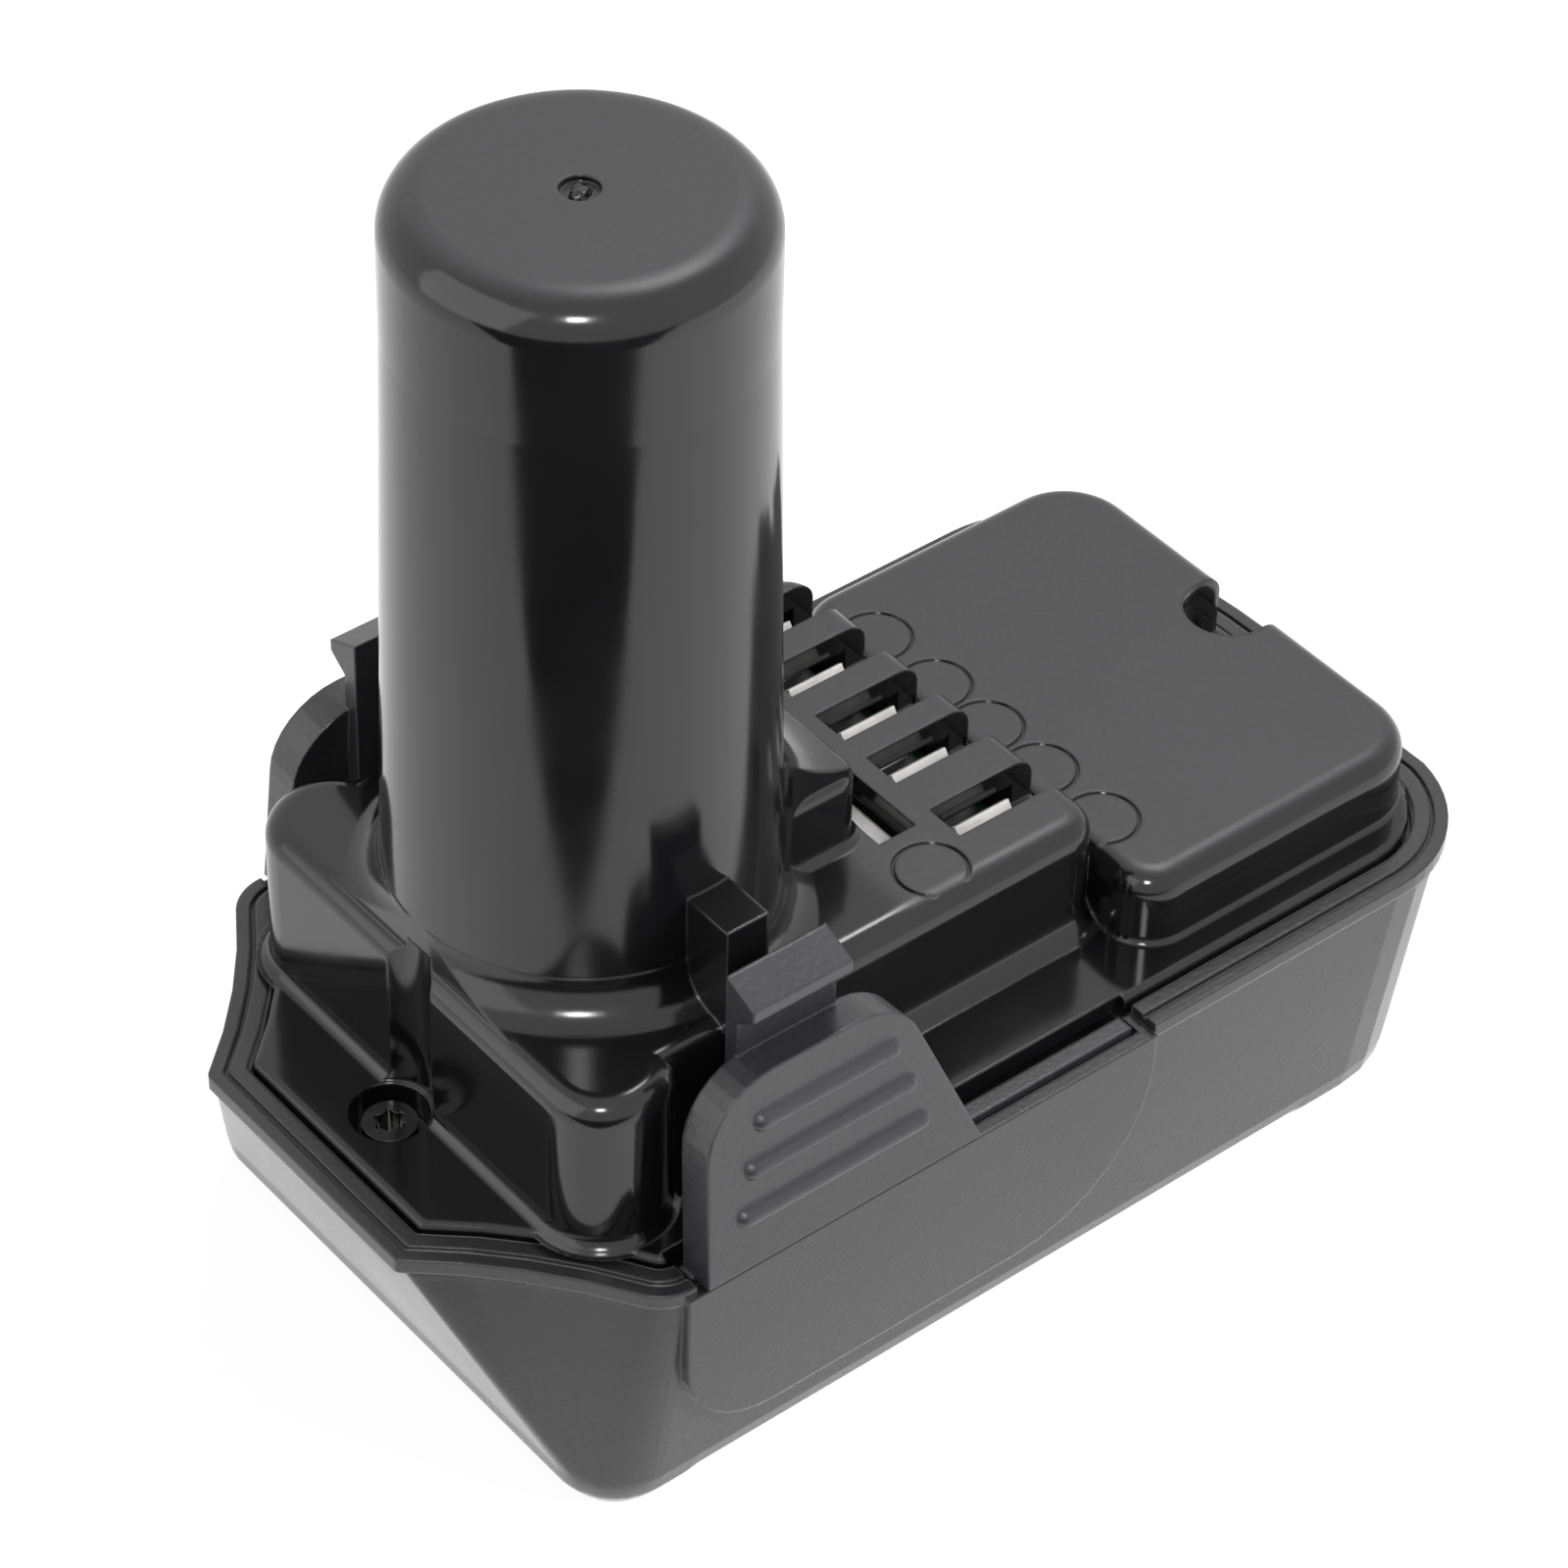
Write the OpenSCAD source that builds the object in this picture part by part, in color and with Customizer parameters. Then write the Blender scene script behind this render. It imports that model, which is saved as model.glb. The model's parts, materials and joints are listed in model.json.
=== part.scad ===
// Slide-in tower battery pack for a cordless tool.
// Lengths in millimetres. Shapes are drawn with the rim of the lower case at z = 0 and the tower axis
// at x = 0, then moved so that the pack stands on z = 0 with its outline centred on the origin.
// +X runs from the tower to the rear of the deck, +Y to the left latch, +Z up.

/* [Tower] */
// Diameter of the straight nose of the tower
tower_d = 27; // [26:0.5:28]
// Diameter of the tower where it meets the shoulder
tower_foot_d = 29.4; // [28.6:0.2:30]
// Height of the tower top above the rim
tower_h = 75.2; // [75:0.1:77]
// Length of the straight nose below the rounded edge
nose_l = 8; // [6:1:12]
// Radius of the rounded top edge
tower_edge = 3.2; // [2.6:0.2:3.6]
// Room between the tower cell and the wall of the tower
sleeve_t = 2.3; // [2.1:0.1:2.5]

/* [Lower case] */
// Width over the rim
rim_w = 53.8; // [53.4:0.2:54.6]
// Distance from the tower axis to the front of the rim
rim_front = 25.6; // [25.2:0.2:26.4]
// Distance from the tower axis to the rear of the rim
rim_rear = 71; // [70.6:0.2:72.4]
// Depth from the rim down to the feet
case_depth = 23.5; // [23.4:0.1:24.4]
// Width of the flat front at the rim
front_w = 23.4; // [22:0.2:25]
// Distance from the tower axis to the front edge of the bottom
bottom_front = 18; // [17.4:0.2:18.6]
// Height of the raised band under the rim
bead_h = 1.3; // [1:0.1:1.6]
// How far the raised band stands out
bead_out = 0.35; // [0.2:0.05:0.5]
// How far the feet stand out from the belly
foot_out = 0.6; // [0.4:0.1:0.8]
// Wall of both case halves
wall = 2; // [1.8:0.1:2.1]

/* [Upper case] */
// Width of the rim ring left around the upper case
ring_w = 2.7; // [2.5:0.1:2.9]
// Gap between the upper case and the rim
groove = 0.35; // [0.3:0.05:0.5]
// Height of the deck above the rim
deck_h = 7; // [6.6:0.1:7.4]
// Width of the deck
deck_w = 42.4; // [42:0.2:43]
// Height of the terminal step above the rim
step_h = 11; // [10.8:0.1:11.6]
// Distance from the tower axis to the rear of the terminal step
step_rear = 37.3; // [37:0.1:37.8]
// Height of the shoulder above the rim
shoulder_h = 14.4; // [14:0.1:15]
// Width of the shoulder at its front
shoulder_w = 42.4; // [41.6:0.2:42.8]
// Height of the rib behind the tower
gusset_h = 18; // [17.4:0.1:18.4]
// Height of the guide ribs beside the tower
guide_h = 23.4; // [22.6:0.2:24]
// Diameter of the round marks on the deck
mark_d = 6; // [5.6:0.1:6.2]

/* [Terminals] */
// Width of a contact slot
slot_w = 3.6; // [3.4:0.1:3.8]
// Length of a contact slot
slot_l = 10.3; // [10:0.1:10.6]
// Length of a contact clip
clip_l = 5.3; // [5:0.1:5.6]
// Thickness of the contact sheet
clip_t = 0.4; // [0.3:0.05:0.5]

/* [Latches] */
// Angle that a latch swings in when pressed
press_angle = 3; // [2:0.1:3]
// Width of a latch pad at the rim
pad_w = 25.3; // [24.6:0.1:25.6]
// Height of a latch pad above the rim
pad_h = 16.8; // [16:0.2:17.4]
// Thickness of a latch pad
pad_t = 3; // [2.8:0.1:3.1]
// Width of a hook along the case
hook_w = 8.8; // [8:0.2:9.2]
// Height of the hook tip above the rim
hook_h = 23.2; // [22.8:0.1:23.8]
// Diameter of a latch pin
pin_d = 1.5; // [1.4:0.1:1.6]

/* [Cells] */
// Diameter of a cell
cell_d = 18.4; // [18.2:0.1:18.5]
// Length of a cell
cell_l = 65.2; // [64.8:0.1:65.3]

/* [Screws] */
// Diameter of a screw head
head_d = 4.2; // [4:0.1:4.6]
// Diameter of a screw shank
shank_d = 2.6; // [2.4:0.1:2.8]
// Length of a screw under its head
screw_l = 10; // [9:0.5:11]
// Diameter of the recess around a screw head
pocket_d = 6; // [5.8:0.1:6.2]

/* [Fits] */
// Clearance of a pin that turns
run_fit = 0.05; // [0.03:0.01:0.08]
// Gap between parts that rest beside each other
seat = 0.2; // [0.15:0.01:0.25]

/* [Hidden] */
$fn = 64;
frame_x = (rim_front - rim_rear) / 2;

// Steps of round corners and of rounded edges
corner_steps = 6;
edge_steps = 4;

// Plan of the rim
half_w = rim_w / 2;
rear_r = 11;
bow_r = 90;
bow_angle = 9.7;
corner_r = 4.2;
corner_x = -10.4;
prow_angle = 216.5;
tip_angle = 226.5;
tip_r = 0.6;
prow_sag = 0.75;
plate_in = ring_w + groove;

// Lower case
lower_edge = 4;
low_half = half_w - 1;
low_rear = rim_rear - 3;
low_r = 5.5;
low_tip = 200;
ledge = 1.2;
floor_z = -case_depth + foot_out + wall;
feet_x = [-10, 52];
belly_x = [feet_x[0], feet_x[0] + 2 * foot_out, feet_x[1] - 2 * foot_out, feet_x[1]];
tub_x = [-12.5, 62.2];
tub_half = cell_d + 1.6;
rear_tub_x = 36;
rear_tub_half = half_w - 3.3;

// Side panel that covers a latch, and the room behind it
panel_x = [-11.2, 33.2];
panel_top = -0.8;
panel_low = -16.2;
panel_r = [8, 13];
panel_y = half_w + 0.3;
room_edge = 0.9;
room_y = [half_w - 5.3, panel_y - 1.15];

// Upper case
plate_z = 0.6;
plate_edge = 0.5;
hollow_z = -4;
sink = 0.1;
deck_x = 36.7;
deck_corner = [3.8, 6];
deck_edge = 2;
deck_foot = 0.7;
deck_rear = rim_rear - 4.2;
step_y = [-15.9, 21.6];
step_x = 3;
step_left_x = 17;
step_corner = [3, 3];
step_edge = 2;
step_foot = 2.2;
left_foot = 0.5;
shoulder_x = [-15.6, -5.6];
shoulder_corner = [4.9, 4.9];
shoulder_edge = 1.8;
shoulder_foot = 1.2;
waist_x = [-12, 5.6];
waist_half = half_w - 7.7;
waist_corner = [2.4, 2.4];
gusset_x = 21.2;
blend_r = 7;
ramp_r = 10;
gusset_half = 6.6;
gusset_edge = 1.6;
gusset_corner = [2.2, 2.2];
gusset_foot = 1.2;
guide_x = [-1.7, 2];
guide_y = half_w - 7.9;
flare_r = 3.4;
gate_r = 1.45;
gate_deep = 0.5;
tower_r = tower_d / 2;
foot_r = tower_foot_d / 2;
straight_z = tower_h - tower_edge - nose_l;
bore_r = cell_d / 2 + sleeve_t;
roof_z = tower_h - wall;

// Contact slots, their clips and the round marks
slot_y = [17.15, 10.75, 4.4, -1.7, -9.1];
slot_x = step_rear - slot_l;
cross_x = [21.6, 25.1];
cross_y = [-8, 0.2];
clip_x = slot_x + 2;
cross_mid = [1, 1] * (cross_x[0] + cross_x[1]) / 2;
cross_start = cross_y[0] + 1.6;
clip_z = [2.2, step_h - wall - 0.3];
leaf_gap = 0.5;
lip = 0.9;
mark_y = [14.1, 6.9, 0.7, -5.6, -12.7];
mark_x = 39.8;
step_mark = [22.9, -12.4];
line_in = 0.4 * ring_w;
line_w = 0.35;
line_deep = 0.3;
rim_steps = 2 * corner_steps;
mark_line = 0.3;
mark_deep = 0.24;

// Screws
screw_x = [-17.6, 64.2];
head_h = 1.9;
head_z = -0.3;
seat_z = head_z - head_h;
pocket_r = pocket_d / 2;
boss_z = seat_z - 1.6;
boss_r = pocket_r + 1;
channel_r = 3.3;
channel_skin = 1.6;
notch_r = 3.5;
post_r = 3.4;
post_hole_r = shank_d / 2 + run_fit;
lobe_r = 0.95;
lobe_n = 6;

// Latches
swing_y = half_w - 2.6;
swing_z = -11.5;
knuckle_r = 1.4;
blade_y = [half_w - 2.65, room_y[1] - 0.35];
blade_edge = room_edge + 0.4;
blade_z = [-9, -0.4];
tongue_x = [-3.6, 21.6];
lug_t = 2;
lug_gap = 0.4;
pad_x = -9.6;
pad_y = half_w + 0.5;
pad_lean = 4.6;
pad_r = 6;
pad_slope = 22.3;
rib_r = 0.9;
rib_sink = 0.25;
rib_x = [[-4.2, 7.4], [-5.2, 8.8], [-6, 9.9]];
rib_z = [pad_h - 4.2, pad_h - 8.2, pad_h - 12.3];
hook_x = -4.2;
stem_y = [half_w - 4.9, half_w - 3.5];
stem_z = 2;
hook_out = half_w - 1.8;
hook_drop = 1.3;
hook_lip = 1;
hook_under = 1.3;
wire_r = 0.25;
coil_r = 2;
coil_turns = 2;
spring_x = 6;
spring_z = -5;

// Cells and what holds them
cell_r = cell_d / 2;
cell_y = cell_r + 0.4;
low_pad_t = 0.5;
low_pad_l = 8;
low_pad_half = 17;
low_pad_x = [2, 44];
cell_z = floor_z + low_pad_t + seat + cell_r;
cell_x = -7;
cell_end = cell_x + cell_l;
top_pad_t = 0.8;
top_pad_r = 8;
sleeve_h = 10;
sleeve_in = 4;
tower_cell_top = roof_z - top_pad_t - 3 * seat;
tower_cell_z = tower_cell_top - cell_l;
button_r = 3;
button_h = 0.9;
frame_top = -1.4;
frame_low = -7.5;
frame_half = 18.8;
seat_r = 11.2;
post_top = 0;
post_half = 1.2;
strap_t = 0.3;
strap_half = 3.5;
strap_top = cell_z + strap_half;
tab_half = 2.8;
board_z = post_top + seat;
board_t = 1.6;
board_x = [20.6, 59.9];
board_y = [13.5, 16.4];
board_top = board_z + board_t;
holder_z = board_top + seat / 2;
holder_h = 3;
switch_x = 42;
switch_y = [-9, -1];
switch_l = 5;
switch_w = 6;
switch_t = 1.6;
guard_x = [50, 54];
guard_y = [2, 9];
guard_t = 1.2;
dot_x = 38.5;
dot_y = [-11, -7, 12];
dot_l = 2;
dot_w = 1.2;
dot_t = 0.8;
lead_r = 0.24 * sleeve_t;
lead_path = (bore_r + cell_r) / 2;
lead_z = 3.2;

function arc(x, y, r, a0, a1, n) =
  [for (k = [0 : n]) let (a = a0 + (a1 - a0) * k / n) [x + r * cos(a), y + r * sin(a)]];

function flip(p) = [for (i = [len(p) - 1 : -1 : 0]) [p[i][0], -p[i][1]]];

function lift(p, z) = [for (q = p) [q[0], q[1], z]];

// Right half of a case outline, from the front tip to the middle of the bowed rear, with more
// points at the places along its side
function half_plan(tip, corner, half, rear, r, sag, side, steps = corner_steps) =
  let (
    a = arc(tip[0], tip[1], tip[2], 180, tip[3], steps),
    b = arc(corner[0], corner[1], corner[2], corner[3], 270, steps),
    p = a[steps],
    q = b[0],
    n = [q[1] - p[1], p[0] - q[0]] / norm(q - p),
    x = rear - bow_r + (bow_r - r) * cos(bow_angle))
  concat(a,
    [for (t = [0.25, 0.5, 0.75]) p + (q - p) * t - n * sag * 4 * t * (1 - t)],
    b,
    [for (t = side) [t, -half]],
    arc(x, -half + r, r, 270, 360 - bow_angle, steps),
    arc(rear - bow_r, 0, bow_r, -bow_angle, 0, 3));

function whole(p) = concat(p, flip([for (i = [0 : len(p) - 2]) p[i]]));

// Outline of the rim, drawn in by d
function rim_plan(d, side = [], steps = corner_steps) = whole(half_plan(
  [tip_r + d - rim_front, tip_r * 0.4 + 0.43 * d - front_w / 2, tip_r, tip_angle],
  [corner_x, corner_r - half_w, corner_r - d, prow_angle],
  half_w - d, rim_rear - d, rear_r - d, prow_sag, side, steps));

// Outline of the bottom, drawn in by d
function low_plan(d, side = []) = whole(half_plan(
  [low_r - bottom_front, low_r - low_half, low_r - d, low_tip],
  [low_r - bottom_front, low_r - low_half, low_r - d, prow_angle],
  low_half - d, low_rear - d, rear_r - d, 0, side));

// Flat end of a skin: strips from each point to its partner on the other side
function end_faces(m, first, up) = [for (i = [0 : floor(m / 2) - 1]) for (t = [0, 1])
  let (f = t == 0 ? [i, i + 1, m - 1 - i] : [i + 1, m - 2 - i, m - 1 - i])
  if (f[0] < f[1] && f[1] < f[2]) up ? [f[2] + first, f[1] + first, f[0] + first]
    : [f[0] + first, f[1] + first, f[2] + first]];

// Skin over a stack of outlines that all have the same number of points
module skin(rings) {
  m = len(rings[0]);
  s = len(rings);
  polyhedron([for (r = rings) each r], concat(
    end_faces(m, 0, false),
    [for (j = [0 : s - 2]) for (i = [0 : m - 1]) for (t = [0, 1])
      let (a = j * m + i, b = j * m + (i + 1) % m)
      t == 0 ? [a, a + m, b + m] : [a, b + m, b]],
    end_faces(m, (s - 1) * m, true)), convexity = 6);
}

// Cross section of a block from the middle of its round corner outwards
module edge_profile(r, z0, z1, foot, edge) {
  difference() {
    translate([0, z0]) square([r, z1 - z0]);
    difference() {
      translate([r - edge, z1 - edge]) square(edge + 1);
      translate([r - edge, z1 - edge]) circle(edge);
    }
  }
  if (foot > 0) difference() {
    translate([r - 0.01, z0]) square([foot + 0.01, foot]);
    translate([r + foot, z0 + foot]) circle(foot);
  }
}

// Block with round corners of radius r[0] at its front and r[1] at its rear, a concave foot
// and a rounded top edge
module block(x, y, r, z0, z1, foot, edge) {
  m = max(r);
  for (i = [0, 1]) for (j = [0, 1])
    translate([i ? x[1] - r[1] : x[0] + r[0], j ? y[1] - r[i] : y[0] + r[i], 0])
      mirror([1 - i, 0, 0]) mirror([0, 1 - j, 0])
        rotate_extrude(angle = 90) edge_profile(r[i], z0, z1, foot, edge);
  translate([x[0] + r[0], 0, 0]) rotate([90, 0, 90]) linear_extrude(x[1] - x[0] - r[0] - r[1]) {
    translate([y[1] - m, 0]) edge_profile(m, z0, z1, foot, edge);
    translate([y[0] + m, 0]) mirror([1, 0]) edge_profile(m, z0, z1, foot, edge);
    translate([y[0] + m, z0]) square([y[1] - y[0] - 2 * m, z1 - z0]);
  }
  for (i = [0, 1]) translate([i ? x[1] - r[1] : x[0] + r[0], y[1] - r[i], 0])
    mirror([1 - i, 0, 0]) rotate([90, 0, 0]) linear_extrude(y[1] - y[0] - 2 * r[i])
      edge_profile(r[i], z0, z1, foot, edge);
}

module box(x, y, z) {
  translate([x[0], y[0], z[0]]) cube([x[1] - x[0], y[1] - y[0], z[1] - z[0]]);
}

module rod_x(r, x, y, z) {
  translate([x[0], y, z]) rotate([0, 90, 0]) cylinder(r = r, h = x[1] - x[0]);
}

module post(r, x, y, z) {
  translate([x, y, z[0]]) cylinder(r = r, h = z[1] - z[0]);
}

// Flat shape drawn in X and Z, from y0 to y1
module side_plate(p, y0, y1) {
  translate([0, y1, 0]) rotate([90, 0, 0]) linear_extrude(y1 - y0) polygon(p);
}

module both_sides() {
  children();
  mirror([0, 1, 0]) children();
}

module place() {
  translate([frame_x, 0, case_depth]) children();
}

// Outline of the side panel, drawn in by d
function panel_plan(d) = concat(
  [[panel_x[1] - d, panel_top]],
  [[panel_x[0] + d, panel_top]],
  arc(panel_x[0] + panel_r[0], panel_low + panel_r[0], panel_r[0] - d, 180, 270, 8),
  arc(panel_x[1] - panel_r[1], panel_low + panel_r[1], panel_r[1] - d, 270, 360, 8));

// How far the bottom rises at x, between the feet
function belly(x) = max(0, min(foot_out, (x - feet_x[0]) / 2, (feet_x[1] - x) / 2));

// Solid of the lower case below its rim
module lower_body() {
  skin(concat(
    [for (k = [edge_steps : -1 : 0]) let (t = 90 * k / edge_steps)
      [for (q = low_plan(lower_edge * (1 - cos(t)), belly_x))
        [q[0], q[1], lower_edge * (1 - sin(t)) - case_depth + belly(q[0]) * sin(t)]]],
    [lift(rim_plan(bead_out, belly_x), -bead_h / 2)]));
}

// Room inside the lower case for one latch, on the -Y side
module latch_room() {
  difference() {
    union() {
      side_plate(panel_plan(room_edge), -room_y[1], -room_y[0]);
      box([panel_x[0] + room_edge, panel_x[1] - room_edge], [-room_y[1], -room_y[0]], [-2, 1]);
    }
    for (x = [tongue_x[0] - lug_gap - lug_t, tongue_x[1] + lug_gap])
      box([x, x + lug_t], [-room_y[1] - 1, -room_y[0] + 1], [panel_low, swing_z + 2.2]);
  }
  box([panel_x[0] + room_edge, panel_x[1]], [-half_w - 1, -room_y[0]], [panel_top, 1]);
  rod_x(pin_d / 2 + run_fit, [tongue_x[0] - lug_gap - lug_t, tongue_x[1] + lug_gap + lug_t],
    -swing_y, swing_z);
}

module lower_case() color([0.10, 0.10, 0.11]) place() {
  difference() {
    union() {
      lower_body();
      translate([0, 0, -bead_h]) linear_extrude(bead_h) polygon(rim_plan(0, [], rim_steps));
      both_sides() side_plate(panel_plan(0), -panel_y, -half_w + 3);
    }
    translate([0, 0, -ledge - seat / 2]) linear_extrude(ledge + 1)
      polygon(rim_plan(ring_w, [], rim_steps));
    translate([0, 0, -line_deep]) linear_extrude(1) difference() {
      polygon(rim_plan(line_in, [], rim_steps));
      polygon(rim_plan(line_in + line_w, [], rim_steps));
    }
    difference() {
      union() {
        box(tub_x, [-tub_half, tub_half], [floor_z, 0]);
        for (s = [-1, 1])
          box([rear_tub_x, tub_x[1]], s > 0 ? [0, rear_tub_half] : [-rear_tub_half, 0],
            [floor_z + 3, 0]);
        box([-rim_front + 4.5, tub_x[0] + 1], [-front_w / 2, front_w / 2], [boss_z - 4, 0]);
      }
      for (x = screw_x) post(post_r, x, 0, [-case_depth, boss_z - seat / 2]);
    }
    for (x = screw_x) {
      post(boss_r + seat, x, 0, [boss_z - seat / 2, 1]);
      post(post_hole_r, x, 0, [seat_z - screw_l - 1, 1]);
    }
    both_sides() latch_room();
  }
}

// Outside of the upper case without its tower
module upper_blocks() {
  z = plate_z - sink;
  block([deck_x, deck_rear], [-deck_w / 2, deck_w / 2], deck_corner, z, deck_h, deck_foot, deck_edge);
  block([step_x, step_rear], [step_y[0], -step_y[0]], step_corner, z, step_h, step_foot, step_edge);
  block([step_left_x, step_rear], [0, step_y[1]], step_corner, z, step_h, left_foot, step_edge);
  block(shoulder_x, [-shoulder_w / 2, shoulder_w / 2], shoulder_corner, z, shoulder_h,
    shoulder_foot, shoulder_edge);
  block(waist_x, [-waist_half, waist_half], waist_corner, z, shoulder_h, shoulder_foot, shoulder_edge);
  block([0, gusset_x], [-gusset_half, gusset_half], gusset_corner, step_h - sink, gusset_h,
    gusset_foot, gusset_edge);
  both_sides() box(guide_x, [0, guide_y], [plate_z - sink, guide_h]);
}

// Turned outline of the tower with its rounded top edge
module tower_solid(z0) {
  rotate_extrude() {
    polygon([[0, z0], [foot_r, z0], [foot_r, shoulder_h], [tower_r, straight_z],
      [tower_r, tower_h - tower_edge], [tower_r - tower_edge, tower_h - tower_edge],
      [tower_r - tower_edge, tower_h], [0, tower_h]]);
    translate([tower_r - tower_edge, tower_h - tower_edge]) circle(tower_edge);
  }
}

// Concave ring where the tower rises out of a flat top at height z
module flare(z) {
  translate([0, 0, z]) rotate_extrude() difference() {
    translate([foot_r - 1, -1]) square([flare_r + 1, flare_r + 1]);
    translate([foot_r + flare_r, flare_r]) circle(flare_r);
  }
}

// Outline of the rib behind the tower, with hollow curves into the tower's sides
function rib_plan() = let (
    y = gusset_half - 0.4,
    c = y + blend_r,
    x = sqrt((foot_r - 0.5 + blend_r) ^ 2 - c ^ 2),
    a = arc(x, -c, blend_r, 180 - atan2(c, x), 90, 8))
  concat([[0, 0]], a, [[gusset_x - 1.2, -y], [gusset_x - 1.2, y]],
    [for (i = [8 : -1 : 0]) [a[i][0], -a[i][1]]]);

// Rib behind the tower, under a hollow curve that turns about the tower axis
module ramp() {
  z = gusset_h - sink;
  intersection() {
    translate([0, 0, step_h - sink]) linear_extrude(z + ramp_r - step_h) polygon(rib_plan());
    rotate_extrude() difference() {
      translate([0, step_h - 1]) square([tower_r + ramp_r, z + ramp_r - step_h]);
      translate([tower_r + ramp_r, z + ramp_r]) circle(ramp_r);
    }
  }
}

module upper_hollow() {
  difference() {
    union() {
      box([deck_x + wall, deck_rear - wall], [-1, 1] * (deck_w / 2 - wall), [hollow_z, deck_h - wall]);
      box([step_rear - wall - 1, deck_x + wall + 1], [step_y[0] + wall, -step_y[0] - wall],
        [hollow_z, deck_h - wall]);
      box([step_x, step_rear - wall], [step_y[0] + wall, -step_y[0] - wall],
        [hollow_z, step_h - wall]);
      box([step_left_x + wall, step_rear - wall], [0, step_y[1] - wall], [hollow_z, step_h - wall]);
      box([shoulder_x[0] + wall, waist_x[1] - 1], [-1, 1] * (waist_half - wall),
        [hollow_z, shoulder_h - wall]);
      box([0, gusset_x - wall], [-1, 1] * (gusset_half - wall), [hollow_z, gusset_h - wall]);
      post(bore_r, 0, 0, [hollow_z, roof_z]);
    }
    post(channel_r + channel_skin, screw_x[0], 0, [hollow_z, shoulder_h]);
    post(notch_r + channel_skin, screw_x[1], 0, [hollow_z, deck_h]);
  }
}

module round_mark(x, y, z) {
  translate([x, y, z - mark_deep]) difference() {
    cylinder(d = mark_d, h = 1);
    translate([0, 0, -1]) cylinder(d = mark_d - 2 * mark_line, h = 3);
  }
}

module upper_case() color([0.07, 0.07, 0.08]) place() {
  difference() {
    union() {
      skin([lift(rim_plan(plate_in), -ledge), lift(rim_plan(plate_in), plate_z - plate_edge),
        lift(rim_plan(plate_in + 0.3 * plate_edge), plate_z - 0.3 * plate_edge),
        lift(rim_plan(plate_in + plate_edge), plate_z)]);
      upper_blocks();
      tower_solid(plate_z);
      ramp();
      intersection() {
        flare(shoulder_h - sink);
        box([shoulder_x[0] + 1, waist_x[1] - shoulder_edge], [-1, 1] * (waist_half - 1), [0, 30]);
      }
      intersection() {
        flare(step_h - sink);
        box([waist_x[1] - 1, gusset_x], [-1, 1] * (-step_y[0] - 1), [0, shoulder_h]);
      }
      for (x = screw_x) post(boss_r, x, 0, [boss_z, 0]);
    }
    upper_hollow();
    both_sides() box([panel_x[0] + room_edge - 0.3, panel_x[1] - 0.4],
      [half_w - 3.7, half_w], [-2 * ledge, plate_z + 1]);
    for (x = screw_x) {
      post(pocket_r, x, 0, [seat_z, plate_z + 1]);
      post(shank_d / 2 + 0.25, x, 0, [boss_z - 1, 1]);
    }
    post(channel_r, screw_x[0], 0, [plate_z, shoulder_h + 1]);
    post(notch_r, screw_x[1], 0, [plate_z, deck_h + 1]);
    box([screw_x[1], rim_rear], [-notch_r, notch_r], [plate_z, deck_h + 1]);
    for (y = slot_y)
      box([slot_x, step_rear + 0.5], [y - slot_w / 2, y + slot_w / 2], [deck_h, step_h + 1]);
    box(cross_x, cross_y, [deck_h, step_h + 1]);
    for (y = mark_y) round_mark(mark_x, y, deck_h);
    round_mark(step_mark[0], step_mark[1], step_h);
    post(gate_r, 0, 0, [tower_h - gate_deep, tower_h + 1]);
  }
}

// Capsule along X, with round ends
module bar_x(r, x, y, z) {
  rod_x(r, x, y, z);
  for (i = x) translate([i, y, z]) sphere(r);
}

// Latch on the -Y side
module latch() {
  knuckle = [tongue_x[0], tongue_x[1]];
  difference() {
    union() {
      intersection() {
        side_plate(panel_plan(blade_edge), -blade_y[1], -blade_y[0]);
        box([panel_x[0], panel_x[1]], [-half_w, 0], [blade_z[0], -1]);
      }
      box([panel_x[0] + blade_edge, panel_x[1] - blade_edge], [-blade_y[1], -blade_y[0]],
        [-2, blade_z[1]]);
      box(knuckle, [-blade_y[1], -blade_y[0]], [swing_z, blade_z[0] + 1]);
      rod_x(knuckle_r, knuckle, -swing_y, swing_z);
      translate([0, -pad_y, 0]) rotate([-pad_lean, 0, 0]) {
        side_plate(concat(
          [[pad_x, blade_z[1]], [pad_x + pad_w, blade_z[1]]],
          arc(pad_x + pad_r + 8, pad_h - pad_r, pad_r, pad_slope, 90, 8),
          arc(pad_x + pad_r + 0.4, pad_h - pad_r, pad_r, 90, 180, 8)), 0, pad_t);
        for (i = [0 : len(rib_z) - 1]) bar_x(rib_r, rib_x[i], rib_sink, rib_z[i]);
      }
      box([pad_x + 0.4, pad_x + pad_w - 0.4], [-blade_y[1], -blade_y[0]], [-2, 1]);
      box([hook_x, hook_x + hook_w], [-stem_y[1], -stem_y[0]], [stem_z, hook_h - 2]);
      box([hook_x, hook_x + hook_w], [-blade_y[1] + 0.4, -stem_y[0]], [stem_z, 9]);
      translate([hook_x, 0, 0]) rotate([90, 0, 90]) linear_extrude(hook_w) polygon([
        [-stem_y[0], hook_h],
        [-hook_out, hook_h - hook_drop],
        [-hook_out, hook_h - hook_drop - hook_lip],
        [-stem_y[1], hook_h - hook_drop - hook_lip - hook_under],
        [-stem_y[0], hook_h - 4]]);
    }
    rod_x(pin_d / 2 + run_fit, [knuckle[0] - 1, knuckle[1] + 1], -swing_y, swing_z);
  }
}

module latch_right() color([0.10, 0.10, 0.11]) place() {
  latch();
}

module latch_left() color([0.10, 0.10, 0.11]) place() {
  mirror([0, 1, 0]) latch();
}

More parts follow.
